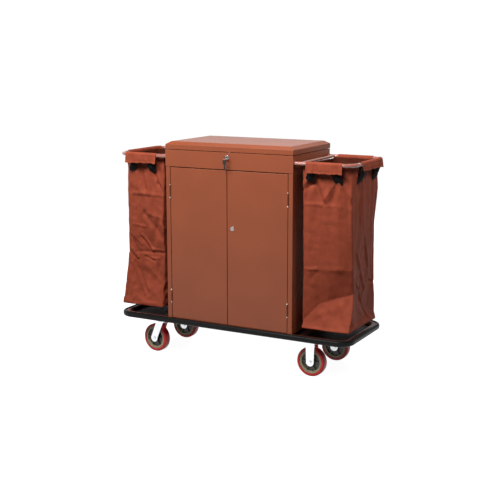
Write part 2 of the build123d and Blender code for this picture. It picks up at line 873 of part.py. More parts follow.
def swivel_plate():
    """Top plate with its ball race housing and the kingpin riveted through it."""
    z0 = plate_top - plate_thickness
    plate = caster_plate()
    gap = 4 * touch
    plate += rod("z", race_radius, crown_top + gap, z0)
    plate += rod("z", kingpin_radius, kingpin_bottom, z0 + 2 * touch)
    plate += rod("z", kingpin_head_radius, kingpin_bottom + 1, crown_top - crown_thickness - gap)
    plate += rod("z", kingpin_head_radius, plate_top - 0.5, plate_top + 2)
    return plate


def plate_bolts():
    """Bolts through the caster plates and the cross members, with nuts above."""
    bolts = []
    for x0 in (rigid_x, swivel_x):
        for y0 in (-caster_y, caster_y):
            for x in (-plate_bolt_x, plate_bolt_x):
                for y in (-plate_bolt_y, plate_bolt_y):
                    z0 = plate_top - plate_thickness - touch
                    nut = plate_top + channel_sheet + 4 * touch
                    bolt = rod("z", plate_bolt_radius, z0 - 1, pan_height - 0.6)
                    bolt += hexagon(plate_bolt_hexagon, z0 - 5, z0)
                    bolt += hexagon(plate_bolt_hexagon, nut, nut + 5.6)
                    bolts.append(Pos(x0 + x, y0 + y, 0) * bolt)
    return group(bolts)


# ---- write the nodes ----------------------------------------------------------------------
save("base_rim", base_rim())
save("deck_pan", deck_pan())
save("cross_members", cross_members())
save("bumper", bumper())

side_panel = right_side_panel()
save("right_side_panel", side_panel)
save("left_side_panel", mirrored_x(side_panel))
save("back_panel", back_panel())
save("cabinet_floor", cabinet_floor())
save("fascia", fascia())
save("amenity_tray", group([tray_shell(), tray_dividers()]))
save("shelves", group([shelf(z) for z in shelf_heights]))
save("shelf_clips", shelf_clips())
save("door_catches", door_catches())

save("lid", lid())
save("lid_strike", lid_strike())
save("lid_hinge_fixed_leaf", lid_hinge_fixed_leaf())
save("lid_hinge_lid_leaf", lid_hinge_lid_leaf())
save("lid_hinge_pin", lid_hinge_pin())

save("right_door", right_door())
save("left_door", left_door())
right_halves = door_hinge_halves()
save("right_door_hinge_halves", right_halves)
save("left_door_hinge_halves", group([mirrored_x(half) for half in right_halves.solids()]))
save("frame_hinge_halves", frame_hinge_halves())

save("lid_lock_body", lock_body(0, lid_lock_z, lid_lock_face))
save("lid_lock_plug", lock_plug(0, lid_lock_z, lid_lock_face, lid_plug_rear, 14))
save("lid_lock_cam", lock_cam(0, lid_lock_z, lid_plug_rear + 2 * touch, 1))
save("inserted_key", inserted_key())
save("key_ring", key_ring())
save("spare_key", spare_key())
save("door_lock_body", lock_body(door_lock_x, door_lock_z, door_lock_face))
save("door_lock_plug", lock_plug(door_lock_x, door_lock_z, door_lock_face, door_plug_rear, 12))
save("door_lock_cam", lock_cam(door_lock_x, door_lock_z, door_plug_rear + 2 * touch, -1))

hoop = right_hoop()
save("right_hoop", hoop)
save("left_hoop", mirrored_x(hoop))
save("hoop_flanges", hoop_flanges())
save("hoop_screws", hoop_screws())

bag = right_bag()
flaps = right_bag_flaps()
straps = right_bag_straps()
save("right_bag", bag)
save("left_bag", mirrored_x(bag))
save("right_bag_flaps", flaps)
save("left_bag_flaps", group([mirrored_x(piece) for piece in flaps.solids()]))
save("right_bag_straps", straps)
save("left_bag_straps", group([mirrored_x(piece) for piece in straps.solids()]))

core = wheel_core()
tyre = wheel_tyre()
bolt = axle()
fixed_fork = rigid_fork()
free_fork = swivel_fork()
top_plate = swivel_plate()
for name, side in (("front_right", -1), ("rear_right", 1)):
    hub = Pos(rigid_x, side * caster_y, wheel_radius)
    save(f"{name}_fork", Pos(rigid_x, side * caster_y, 0) * fixed_fork)
    save(f"{name}_wheel_core", hub * core)
    save(f"{name}_tyre", hub * tyre)
hubs = [Pos(rigid_x, side * caster_y, wheel_radius) for side in (-1, 1)]
save("right_axles", group([place * bolt for place in hubs]))
for name, side, turn in (("front_left", -1, front_left_turn), ("rear_left", 1, 0)):
    king = Pos(swivel_x, side * caster_y, 0) * Rot(0, 0, turn)
    hub = king * Pos(-caster_trail, 0, wheel_radius)
    save(f"{name}_caster_plate", Pos(swivel_x, side * caster_y, 0) * top_plate)
    save(f"{name}_fork", king * free_fork)
    save(f"{name}_axle", hub * bolt)
    save(f"{name}_wheel_core", hub * core)
    save(f"{name}_tyre", hub * tyre)
save("caster_plate_bolts", plate_bolts())
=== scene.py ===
import json
import math

import bpy
import numpy as np
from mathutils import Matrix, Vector, noise


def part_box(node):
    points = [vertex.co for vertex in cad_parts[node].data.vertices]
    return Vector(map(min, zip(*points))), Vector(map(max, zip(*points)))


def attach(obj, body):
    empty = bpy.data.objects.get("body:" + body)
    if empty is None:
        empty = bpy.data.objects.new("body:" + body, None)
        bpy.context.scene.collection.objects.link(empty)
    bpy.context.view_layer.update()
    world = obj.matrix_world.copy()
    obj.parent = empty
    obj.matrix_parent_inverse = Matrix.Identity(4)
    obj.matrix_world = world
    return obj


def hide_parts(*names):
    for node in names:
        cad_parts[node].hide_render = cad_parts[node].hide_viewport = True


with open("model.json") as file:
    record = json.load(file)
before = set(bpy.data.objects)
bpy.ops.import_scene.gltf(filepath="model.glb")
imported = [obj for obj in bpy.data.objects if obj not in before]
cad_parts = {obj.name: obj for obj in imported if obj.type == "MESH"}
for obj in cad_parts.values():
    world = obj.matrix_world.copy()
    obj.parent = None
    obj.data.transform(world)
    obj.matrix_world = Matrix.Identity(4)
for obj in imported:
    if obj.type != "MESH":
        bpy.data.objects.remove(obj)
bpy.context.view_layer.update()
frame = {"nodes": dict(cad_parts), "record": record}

MM = 0.001


# ---- shader helpers -----------------------------------------------------------------------
def new_material(name, colour, roughness, metallic=0.0, specular=0.5):
    """A Principled material whose constant values sit on the shader's own sockets."""
    material = bpy.data.materials.new(name)
    material.use_nodes = True
    shader = material.node_tree.nodes["Principled BSDF"]
    shader.inputs["Base Color"].default_value = (*colour, 1)
    shader.inputs["Roughness"].default_value = roughness
    shader.inputs["Metallic"].default_value = metallic
    shader.inputs["Specular IOR Level"].default_value = specular
    return material, shader


def add_node(material, kind, **settings):
    """Adds a node; a setting is an input socket's name with _ for spaces, or a property."""
    node = material.node_tree.nodes.new(kind)
    for key, value in settings.items():
        socket = key.replace("_", " ")
        if socket in node.inputs:
            node.inputs[socket].default_value = value
        else:
            setattr(node, key, value)
    return node


def link(material, start, end):
    material.node_tree.links.new(start, end)


def object_space(material, stretch=(1, 1, 1)):
    """Coordinates in metres that stay with the piece, optionally stretched."""
    coordinates = add_node(material, "ShaderNodeTexCoord")
    mapping = add_node(material, "ShaderNodeMapping", Scale=stretch)
    link(material, coordinates.outputs["Object"], mapping.inputs["Vector"])
    return mapping.outputs["Vector"]


def noise_value(material, scale, detail=3.0):
    texture = add_node(material, "ShaderNodeTexNoise", Scale=scale, Detail=detail, Roughness=0.5)
    link(material, object_space(material), texture.inputs["Vector"])
    return texture.outputs["Fac"]


def combine(material, operation, first, second):
    """A Math node on a shader value and a second value or plain number."""
    node = add_node(material, "ShaderNodeMath", operation=operation)
    link(material, first, node.inputs[0])
    if isinstance(second, (int, float)):
        node.inputs[1].default_value = second
    else:
        link(material, second, node.inputs[1])
    return node


def colour_ramp(material, value, stops):
    """Colour by a 0-to-1 value: stops are (position, colour)."""
    ramp = add_node(material, "ShaderNodeValToRGB")
    elements = ramp.color_ramp.elements
    while len(elements) < len(stops):
        elements.new(0.5)
    for element, (position, colour) in zip(elements, stops):
        element.position = position
        element.color = (*colour, 1)
    link(material, value, ramp.inputs["Fac"])
    return ramp.outputs["Color"]


def tint_by(material, shader, value, dark, light):
    """Colours the surface between two tones by a 0-to-1 value."""
    colours = colour_ramp(material, value, [(0.3, dark), (0.7, light)])
    link(material, colours, shader.inputs["Base Color"])


def roughness_by(material, shader, value, low, high):
    spread = add_node(material, "ShaderNodeMapRange")
    spread.inputs["To Min"].default_value = low
    spread.inputs["To Max"].default_value = high
    link(material, value, spread.inputs["Value"])
    link(material, spread.outputs["Result"], shader.inputs["Roughness"])


def bump_by(material, shader, values):
    """Adds one bump after another: values is a list of (height output, distance in metres)."""
    normal = None
    for height, distance in values:
        bump = add_node(material, "ShaderNodeBump", Strength=1.0, Distance=distance)
        link(material, height, bump.inputs["Height"])
        if normal:
            link(material, normal, bump.inputs["Normal"])
        normal = bump.outputs["Normal"]
    link(material, normal, shader.inputs["Normal"])


def shade(colour, factor):
    return tuple(min(1.0, c * factor) for c in colour)


# ---- materials ----------------------------------------------------------------------------
def powder_coat(name, colour, roughness, coat=0.0, coat_ior=1.5, specular=0.28):
    """Sprayed powder coat: orange peel, faint clouding and an even satin gloss."""
    peel_height, grain_height = 0.06 * MM, 0.02 * MM
    material, shader = new_material(name, colour, roughness, specular=specular)
    shader.inputs["Coat Weight"].default_value = coat
    shader.inputs["Coat IOR"].default_value = coat_ior
    shader.inputs["Coat Roughness"].default_value = 0.12
    clouds = noise_value(material, 5.0, 4.0)
    tint_by(material, shader, clouds, shade(colour, 0.93), shade(colour, 1.07))
    roughness_by(material, shader, noise_value(material, 60.0), roughness - 0.05, roughness + 0.05)
    peel = noise_value(material, 620.0, 2.0)
    grain = noise_value(material, 2600.0, 1.0)
    bump_by(material, shader, [(peel, peel_height), (grain, grain_height)])
    return material


def rubber(name, colour, roughness, specular=0.3):
    material, shader = new_material(name, colour, roughness, specular=specular)
    tint_by(material, shader, noise_value(material, 35.0), colour, shade(colour, 1.5))
    roughness_by(material, shader, noise_value(material, 40.0), roughness - 0.03, roughness + 0.06)
    bump_by(material, shader, [(noise_value(material, 300.0), 0.03 * MM)])
    return material


def plated_steel(name, colour, roughness):
    """Bright zinc or nickel plate with fine drawn lines and slight clouding."""
    material, shader = new_material(name, colour, roughness, metallic=1.0)
    tint_by(material, shader, noise_value(material, 60.0), shade(colour, 0.86), shade(colour, 1.06))
    lines = noise_value(material, 700.0)
    roughness_by(material, shader, lines, roughness - 0.08, roughness + 0.12)
    bump_by(material, shader, [(lines, 0.03 * MM)])
    return material


def distance_from(material, point):
    """Distance from a point, in metres, as a shader value."""
    away = add_node(material, "ShaderNodeVectorMath", operation="DISTANCE")
    link(material, object_space(material), away.inputs[0])
    away.inputs[1].default_value = point
    return away.outputs["Value"]


def banded(material, value, stops):
    """Colour by a value in metres: stops are (value, colour)."""
    reach = stops[-1][0]
    share = combine(material, "DIVIDE", value, reach)
    return colour_ramp(material, share.outputs["Value"], [(at / reach, tone) for at, tone in stops])


def cast_paint(name, hub):
    """Painted casting: sand texture, a dark dished middle and a lighter outer ring; the middle's
    darkness is partly its paint and partly painted shade of the dish.
    """
    material, shader = new_material(name, (0.1, 0.09, 0.05), 0.42)
    # The dish band from 18 to 48 mm is near-black: its darker paint deepened by painted shade of
    # the recess.
    dark, ring, edge = (0.036, 0.030, 0.018), (0.52, 0.46, 0.28), (0.26, 0.22, 0.12)
    stops = [(0, ring), (16, ring), (18, dark), (48, dark), (51, ring), (59, ring), (62, edge)]
    stops = [(radius * MM, tone) for radius, tone in stops]
    bands = banded(material, distance_from(material, hub), stops)
    grit = noise_value(material, 90.0, 5.0)
    spots = colour_ramp(material, grit, [(0.25, (0, 0, 0)), (1.0, (1, 1, 1))])
    mix = add_node(material, "ShaderNodeMix", data_type="RGBA", blend_type="MULTIPLY")
    mix.inputs["Factor"].default_value = 0.6
    link(material, bands, mix.inputs[6])
    link(material, spots, mix.inputs[7])
    link(material, mix.outputs[2], shader.inputs["Base Color"])
    bump_by(material, shader, [(noise_value(material, 420.0, 4.0), 0.25 * MM)])
    return material


def capped_hinge(name, colour, levels, reach):
    """Painted hinge whose pin heads, at the given heights, are bare bright metal."""
    material = powder_coat(name, colour, 0.4)
    shader = material.node_tree.nodes["Principled BSDF"]
    split = add_node(material, "ShaderNodeSeparateXYZ")
    link(material, object_space(material), split.inputs[0])
    capped = None
    for level in levels:
        near = combine(material, "COMPARE", split.outputs["Z"], level)
        near.inputs[2].default_value = reach
        cap = near.outputs["Value"]
        capped = combine(material, "MAXIMUM", capped, cap).outputs["Value"] if capped else cap
    paint_colour = shader.inputs["Base Color"].links[0].from_socket
    mix = add_node(material, "ShaderNodeMix", data_type="RGBA")
    mix.inputs[7].default_value = (0.70, 0.70, 0.70, 1)
    link(material, capped, mix.inputs["Factor"])
    link(material, paint_colour, mix.inputs[6])
    link(material, mix.outputs[2], shader.inputs["Base Color"])
    link(material, capped, shader.inputs["Metallic"])
    return material


def woven_cloth(name, colour, pitch, roughness, weave_depth, crumple_depth):
    """Coated woven cloth: two crossed sets of threads, soft mottling and small crumples."""
    material, shader = new_material(name, colour, roughness, specular=0.05)
    space = object_space(material)
    threads = []
    for direction in ((1.0, 1.0, 0.0), (0.0, 0.0, 1.0)):
        along = add_node(material, "ShaderNodeVectorMath", operation="DOT_PRODUCT")
        along.inputs[1].default_value = direction
        link(material, space, along.inputs[0])
        turns = combine(material, "MULTIPLY", along.outputs["Value"], 2 * math.pi / pitch)
        wave = add_node(material, "ShaderNodeMath", operation="SINE")
        link(material, turns.outputs["Value"], wave.inputs[0])
        threads.append(wave.outputs["Value"])
    weave = combine(material, "MULTIPLY", *threads)
    mottle = noise_value(material, 22.0, 5.0)
    tint_by(material, shader, mottle, shade(colour, 0.88), shade(colour, 1.12))
    creases = noise_value(material, 160.0, 4.0)
    cells = add_node(material, "ShaderNodeTexVoronoi", Scale=26.0)
    link(material, object_space(material, (1, 1, 0.7)), cells.inputs["Vector"])
    layers = [(cells.outputs["Distance"], crumple_depth), (creases, 0.6 * MM)]
    bump_by(material, shader, layers + [(weave.outputs["Value"], weave_depth)])
    return material


BROWN = (0.271, 0.063, 0.022)
CLOTH = (0.305, 0.062, 0.031)
BLACK = (0.008, 0.008, 0.009)

paint = powder_coat("cabinet_powder_coat", BROWN, 0.36, specular=0.34)
# The hoop's colour is paler and pinker than the cabinet brown it shares: a painted sheen of the
# tube's glossy highlights.
hoop_paint = powder_coat("hoop_enamel_painted_sheen", (0.36, 0.11, 0.075), 0.26, coat=1.0, coat_ior=1.55)
# The rim's brown is about half the cabinet brown it shares: painted shade.
rim_paint = powder_coat("rim_enamel_painted_shade", (0.13, 0.030, 0.016), 0.3, specular=0.08)
# The deck pan's near-black is painted shade: the brown pan is darkened to stand for the shade under
# the bags.
deck_paint = powder_coat("deck_enamel_painted_shade", (0.030, 0.011, 0.009), 0.45, specular=0.04)
bumper_rubber = rubber("bumper_vinyl", (0.006, 0.006, 0.006), 0.34, 0.10)
black_plastic = rubber("black_plastic", (0.012, 0.012, 0.014), 0.4)
zinc = plated_steel("bright_zinc", (0.70, 0.72, 0.74), 0.28)
hinge_zinc = plated_steel("dull_hinge_zinc", (0.36, 0.36, 0.37), 0.42)
chrome = plated_steel("lock_chrome", (0.38, 0.37, 0.37), 0.22)
key_metal = plated_steel("key_nickel", (0.62, 0.61, 0.59), 0.25)
barrel_low, barrel_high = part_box("frame_hinge_halves")
BARREL = 70 * MM
cap_levels = [barrel_low.z, barrel_low.z + BARREL, barrel_high.z - BARREL, barrel_high.z]
# The hinges' brown is the cabinet brown at 0.55: painted shade; only the pin heads are really
# bright bare metal.
hinge_steel = capped_hinge("hinge_paint_painted_shade", shade(BROWN, 0.55), cap_levels, 4 * MM)
red_tread = rubber("red_polyurethane", (0.50, 0.010, 0.012), 0.3)
bag_cloth = woven_cloth("bag_cloth", CLOTH, 1.6 * MM, 0.5, 0.12 * MM, 0.7 * MM)
# The bags' inner face is the bag cloth at a quarter of its brightness: painted shade inside the
# bags.
bag_inside_painted_shade = woven_cloth("bag_inside_painted_shade", shade(CLOTH, 0.26), 1.6 * MM, 0.6, 0.12 * MM, 0.7 * MM)
webbing = woven_cloth("strap_webbing", BLACK, 2.2 * MM, 0.75, 0.3 * MM, 1.0 * MM)

SLOT_MATERIALS = {
    "cabinet_paint": paint,
    "rim_paint": rim_paint,
    "deck_paint": deck_paint,
    "hoop_paint": hoop_paint,
    "bumper_rubber": bumper_rubber,
    "zinc_steel": zinc,
    "hinge_steel": hinge_steel,
    "lock_chrome": chrome,
    "key_steel": key_metal,
    "black_plastic": black_plastic,
    "bag_cloth": bag_cloth,
    "strap_webbing": webbing,
    "red_tread": red_tread,
}


def dress_cad_nodes():
    """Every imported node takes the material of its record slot."""
    slots = {row["node"]: row["material_slot"] for row in frame["record"]["subparts"]}
    for name, node in frame["nodes"].items():
        node.data.materials.clear()
        if slots[name] == "cast_core":
            low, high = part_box(name)
            node.data.materials.append(cast_paint(f"{name}_casting", (low + high) / 2))
        elif name.startswith("lid_hinge"):
            node.data.materials.append(hinge_zinc)
        else:
            node.data.materials.append(SLOT_MATERIALS[slots[name]])


# ---- mesh helpers -------------------------------------------------------------------------
def mesh_object(name, points, faces, material):
    mesh = bpy.data.meshes.new(name)
    mesh.from_pydata([tuple(p) for p in points], [], faces)
    mesh.validate()
    mesh.update()
    mesh.polygons.foreach_set("use_smooth", [True] * len(mesh.polygons))
    piece = bpy.data.objects.new(name, mesh)
    bpy.context.scene.collection.objects.link(piece)
    mesh.materials.append(material)
    return piece


def grid_faces(rows, columns, closed=False):
    """Quads of a grid stored row by row; a closed grid joins its last column to its first."""
    faces = []
    last = columns if closed else columns - 1
    for row in range(rows - 1):
        for column in range(last):
            after = (column + 1) % columns
            a = row * columns + column
            b = row * columns + after
            faces.append((a, b, b + columns, a + columns))
    return faces


def apply_modifiers(piece):
    """Turns the modified shape into the piece's own mesh."""
    graph = bpy.context.evaluated_depsgraph_get()
    made = bpy.data.meshes.new_from_object(piece.evaluated_get(graph))
    piece.modifiers.clear()
    old = piece.data
    piece.data = made
    bpy.data.meshes.remove(old)
    piece.data.polygons.foreach_set("use_smooth", [True] * len(piece.data.polygons))


def thicken(piece, thickness, smooth_levels, inner_material=None):
    """Gives a sheet its thickness; the optional last argument is the material of its inner face."""
    shell = piece.modifiers.new("cloth_thickness", "SOLIDIFY")
    shell.thickness = thickness
    shell.offset = -1
    if inner_material:
        piece.data.materials.append(inner_material)
        shell.material_offset = 1
    if smooth_levels:
        rounder = piece.modifiers.new("smooth", "SUBSURF")
        rounder.levels = smooth_levels
        rounder.render_levels = smooth_levels
    apply_modifiers(piece)


SETTLE_FRAMES = 16


def settle(points, faces, pinned, grow, limit):
    """How far each point of a cloth cut a little too large moves as it hangs, at most the limit."""
    piece = mesh_object("hanging_cloth", points, faces, bag_cloth)
    group = piece.vertex_groups.new(name="pinned")
    group.add(pinned, 1.0, "REPLACE")
    cloth = piece.modifiers.new("hanging", "CLOTH")
    cloth.settings.quality = 6
    cloth.settings.mass = 0.2
    cloth.settings.tension_stiffness = 15
    cloth.settings.compression_stiffness = 15
    cloth.settings.shear_stiffness = 8
    cloth.settings.bending_stiffness = 2.0
    cloth.settings.shrink_min = -grow
    cloth.settings.vertex_group_mass = group.name
    cloth.collision_settings.use_collision = False
    cloth.point_cache.frame_end = SETTLE_FRAMES
    for frame_number in range(1, SETTLE_FRAMES + 1):
        bpy.context.scene.frame_set(frame_number)
    hung = piece.evaluated_get(bpy.context.evaluated_depsgraph_get()).to_mesh()
    moved = np.empty(len(hung.vertices) * 3)
    hung.vertices.foreach_get("co", moved)
    step = moved.reshape(-1, 3) - points
    bpy.data.objects.remove(piece)
    bpy.context.scene.frame_set(1)
    length = np.maximum(np.linalg.norm(step, axis=1, keepdims=True), 1e-9)
    return step / length * limit * np.tanh(length / limit)


def wave_noise(*point):
    """Smooth noise from -1 to 1."""
    return noise.noise(Vector(point))


# ---- the hoops' rails ---------------------------------------------------------------------
HOOP_BEND = 66 * MM
hoop_low, hoop_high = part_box("right_hoop")
TUBE = (hoop_high.z - hoop_low.z) / 2
RAIL_Z = (hoop_high.z + hoop_low.z) / 2
RAIL_Y = hoop_high.y - TUBE
RAIL_X = hoop_high.x - TUBE
LEG_START = hoop_low.x
LEG_LENGTH = RAIL_X - HOOP_BEND - LEG_START
BEND_LENGTH = HOOP_BEND * math.pi / 2
END_LENGTH = 2 * (RAIL_Y - HOOP_BEND)


def rail_point(s):
    """Place and outward direction on the right hoop's centre line, s metres from its front foot."""
    bend_x = RAIL_X - HOOP_BEND
    bend_y = RAIL_Y - HOOP_BEND
    if s < LEG_LENGTH:
        return Vector((LEG_START + s, -RAIL_Y)), Vector((0, -1))
    s -= LEG_LENGTH
    if s < BEND_LENGTH:
        angle = s / HOOP_BEND - math.pi / 2
        out = Vector((math.cos(angle), math.sin(angle)))
        return Vector((bend_x, -bend_y)) + out * HOOP_BEND, out
    s -= BEND_LENGTH
    if s < END_LENGTH:
        return Vector((RAIL_X, -bend_y + s)), Vector((1, 0))
    s -= END_LENGTH
    if s < BEND_LENGTH:
        angle = s / HOOP_BEND
        out = Vector((math.cos(angle), math.sin(angle)))
        return Vector((bend_x, bend_y)) + out * HOOP_BEND, out
    s -= BEND_LENGTH
    return Vector((bend_x - s, RAIL_Y)), Vector((0, 1))


def s_on_front(x):
    return x - LEG_START


def s_on_end(y):
    return LEG_LENGTH + BEND_LENGTH + y + END_LENGTH / 2


def s_on_rear(x):
    return 2 * LEG_LENGTH + 2 * BEND_LENGTH + END_LENGTH - s_on_front(x)


# ---- flaps --------------------------------------------------------------------------------
CLOTH_THICKNESS = 1.0 * MM
FLAP_RADIUS = TUBE + CLOTH_THICKNESS + 0.8 * MM
FLAP_STEP = 3 * MM
INSIDE_ROWS, OVER_ROWS, OUTSIDE_ROWS = 6, 14, 14
INSIDE_DROP = 20 * MM
PLEAT_SPACING = 20 * MM
STITCH_START, STITCH_END = 0.70, 0.78


def pleats(start, end, seed):
    """Soft upright pleats along a flap: (place, half width, height) of each."""
    random = np.random.default_rng(abs(seed) * 7 + (seed < 0))
    count = int((end - start) / PLEAT_SPACING)
    places = random.uniform(start, end, count)
    widths = random.uniform(4, 10, count) * MM
    return list(zip(places, widths, random.uniform(-2.2, 2.8, count) * MM))


def pleat_at(s, folds):
    return sum(height * max(0.0, 1 - abs(s - place) / width) for place, width, height in folds)


def flap_inside(along, fine):
    """Distance out from the rail's centre line and height above it, from the inner hem up."""
    return -FLAP_RADIUS - 0.8 * MM * fine, -INSIDE_DROP * (1 - along)


def flap_over(along, fine, pleat):
    """The same where the flap lies over the rail."""
    bulge = FLAP_RADIUS + 0.5 * MM * abs(fine) + 0.35 * max(0.0, pleat)
    angle = math.pi * along
    return -math.cos(angle) * bulge, math.sin(angle) * bulge


def flap_outside(along, drop, flare, edge):
    """The same from the rail down to the stitched outer hem; the flap's ends lift a little."""
    lift = 5.0 * MM * along * math.exp(-edge / (16 * MM))
    away = FLAP_RADIUS + max(-0.4 * MM, flare + 1.5 * MM * along) + lift
    if STITCH_START < along < STITCH_END:
        away -= 0.9 * MM
    elif along > STITCH_END:
        away += 0.5 * MM
    return away, -drop * along


def make_flap(name, side, start, end, outer_drop, seed, droop=0.0):
    """A hemmed flap folded over the rail from start to end; droop lowers its far end."""
    columns = int((end - start) / FLAP_STEP) + 1
    rows = INSIDE_ROWS + OVER_ROWS + OUTSIDE_ROWS
    folds = pleats(start, end, seed)
    points = []
    for row in range(rows):
        over_row = row - INSIDE_ROWS
        outside_row = over_row - OVER_ROWS
        for column in range(columns):
            share = column / (columns - 1)
            s = start + (end - start) * share
            ripple = wave_noise(s * 24, seed * 3.1, 0.0)
            fine = wave_noise(s * 70, seed * 1.7, row * 0.13)
            if over_row < 0:
                away, height = flap_inside(row / INSIDE_ROWS, fine)
            elif outside_row < 0:
                away, height = flap_over(over_row / OVER_ROWS, fine, pleat_at(s, folds))
            else:
                along = outside_row / (OUTSIDE_ROWS - 1)
                drop = outer_drop + droop * share ** 2 + 4.0 * MM * ripple
                drop += 1.8 * MM * wave_noise(s * 90, seed * 2.3, 0.0)
                flare = (5.0 * ripple + 2.6 * fine) * MM * along ** 0.7
                flare += pleat_at(s + 9 * MM * ripple * along, folds) * (0.4 + 0.6 * along)
                edge = min(share, 1 - share) * (end - start)
                away, height = flap_outside(along, drop, flare, edge)
            place, out = rail_point(s)
            spot = place + out * away
            points.append((side * spot.x, spot.y, RAIL_Z + height))
    faces = grid_faces(rows, columns)
    if side < 0:
        faces = [tuple(reversed(face)) for face in faces]
    piece = mesh_object(name, points, faces, bag_cloth)
    thicken(piece, CLOTH_THICKNESS, 1)
    across = INSIDE_DROP + math.pi * FLAP_RADIUS + outer_drop + droop / 3
    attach(piece, "cart_frame")
    return piece, (across, end - start)


def make_flaps(side, name):
    """The three flaps of one hoop: front leg, end rail and rear leg."""
    front = (s_on_front(430 * MM), s_on_front(618 * MM))
    end = (s_on_end(-112 * MM), s_on_end(186 * MM))
    rear = (s_on_rear(611 * MM), s_on_rear(421 * MM))
    for label, span, drop, droop, seed in (
        ("front", front, 43 * MM, 0, 1),
        ("end", end, 32 * MM, 5 * MM, 2),
        ("rear", rear, 38 * MM, 0, 3),
    ):
        piece, flat = make_flap(f"{name}_{label}_flap", side, *span, drop, seed * side, droop)
        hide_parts(f"{name}_bag_flaps")


# ---- bags ---------------------------------------------------------------------------------
bag_low, bag_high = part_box("right_bag")
BAG_X = (bag_low.x + bag_high.x) / 2
BAG_HALF_X = (bag_high.x - bag_low.x) / 2
BAG_HALF_Y = bag_high.y
FRONT, END, REAR, INNER = range(4)
FRONT_STRAPS = {1: (452 * MM, 578 * MM), -1: (474 * MM, 576 * MM)}
END_STRAPS = (-80 * MM, 110 * MM)


def bag_outline(count, corner):
    """Rows of points round the bag from above: place, outward direction and panel of each."""
    corner_x = BAG_HALF_X - corner
    corner_y = BAG_HALF_Y - corner
    sides = (
        (FRONT, 2 * corner_x, Vector((-corner_x, -BAG_HALF_Y)), Vector((1, 0))),
        (END, 2 * corner_y, Vector((BAG_HALF_X, -corner_y)), Vector((0, 1))),
        (REAR, 2 * corner_x, Vector((corner_x, BAG_HALF_Y)), Vector((-1, 0))),
        (INNER, 2 * corner_y, Vector((-BAG_HALF_X, corner_y)), Vector((0, -1))),
    )
    arc = corner * math.pi / 2
    shares = {FRONT: BAG_HALF_X, END: BAG_HALF_Y, REAR: BAG_HALF_X, INNER: BAG_HALF_Y}
    places, outs, panels = [], [], []
    for panel, run, begin, way in sides:
        out_start = Vector((way.y, -way.x))
        here = round(count * shares[panel] / (2 * BAG_HALF_X + 2 * BAG_HALF_Y))
        for index in range(here):
            s = (index + 0.5) / here * (run + arc) - arc / 2
            angle = max(0.0, s - run) / corner + min(0.0, s) / corner
            out = out_start * math.cos(angle) + way * math.sin(angle)
            base = begin + way * min(run, max(0.0, s))
            places.append(base + (out - out_start) * corner)
            outs.append(out)
            panels.append(panel)
    return np.array(places), np.array(outs), np.array(panels)


def lattice_noise(u, v, seed):
    """Smooth noise from -1 to 1 for whole arrays of places."""
    table = np.random.default_rng(seed).uniform(-1, 1, (64, 64))
    low_u, low_v = np.floor(u).astype(int), np.floor(v).astype(int)
    part_u, part_v = u - low_u, v - low_v
    part_u = part_u * part_u * (3 - 2 * part_u)
    part_v = part_v * part_v * (3 - 2 * part_v)
    total = 0.0
    for step, share in ((0, 1 - part_v), (1, part_v)):
        first = table[low_u % 64, (low_v + step) % 64]
        second = table[(low_u + 1) % 64, (low_v + step) % 64]
        total = total + (first * (1 - part_u) + second * part_u) * share
    return total


def crease_push(folds, u, z):
    """Sharp creases with flat sides; each is (start, end, half width, height), all in mm."""
    push = np.zeros_like(z)
    for (u0, z0), (u1, z1), width, height in folds:
        du, dz = u1 - u0, z1 - z0
        along = ((u - u0) * du + (z - z0) * dz) / (du * du + dz * dz)
        inside = np.clip(along, 0, 1)
        distance = np.hypot(u - u0 - inside * du, z - z0 - inside * dz)
        push += height * np.clip(1 - distance / width, 0, 1)
    return push


def net_depth(lines, u, z):
    """Depth of a panel whose facets meet at lines of (across, height, depth), top line first."""
    spread = [np.array(line).T for line in lines]
    heights = [np.interp(u, line[0], line[1]) for line in spread]
    depths = [np.interp(u, line[0], line[2]) for line in spread]
    depth = depths[0] + np.zeros_like(z)
    for index in range(1, len(lines)):
        share = np.clip((heights[index - 1] - z) / (heights[index - 1] - heights[index]), 0, 1)
        depth += share * (depths[index] - depths[index - 1])
    return depth


def crumple(u, z, seed, amount):
    """Random straight creases in patches, over broad soft sags; u and z in mm."""
    sag_width, sag_height, bend_size, patch_size, steepness = 150, 190, 120, 90, 0.075
    push = amount * 3.0 * lattice_noise(u / sag_width, z / sag_height, seed)
    random = np.random.default_rng(seed)
    for index in range(7):
        angle = random.uniform(0, math.pi)
        length = random.uniform(40, 110)
        bend = 0.5 * lattice_noise(u / bend_size, z / bend_size, seed + 20 + index)
        along = (u * math.cos(angle) + z * math.sin(angle)) / length + bend
        zigzag = 2 * np.abs(along - np.floor(along + 0.5)) - 0.5
        spread = lattice_noise(u / patch_size, z / patch_size, seed + 40 + index)
        push += amount * steepness * length * zigzag * np.clip(1.6 * spread, 0, 1)
    return push


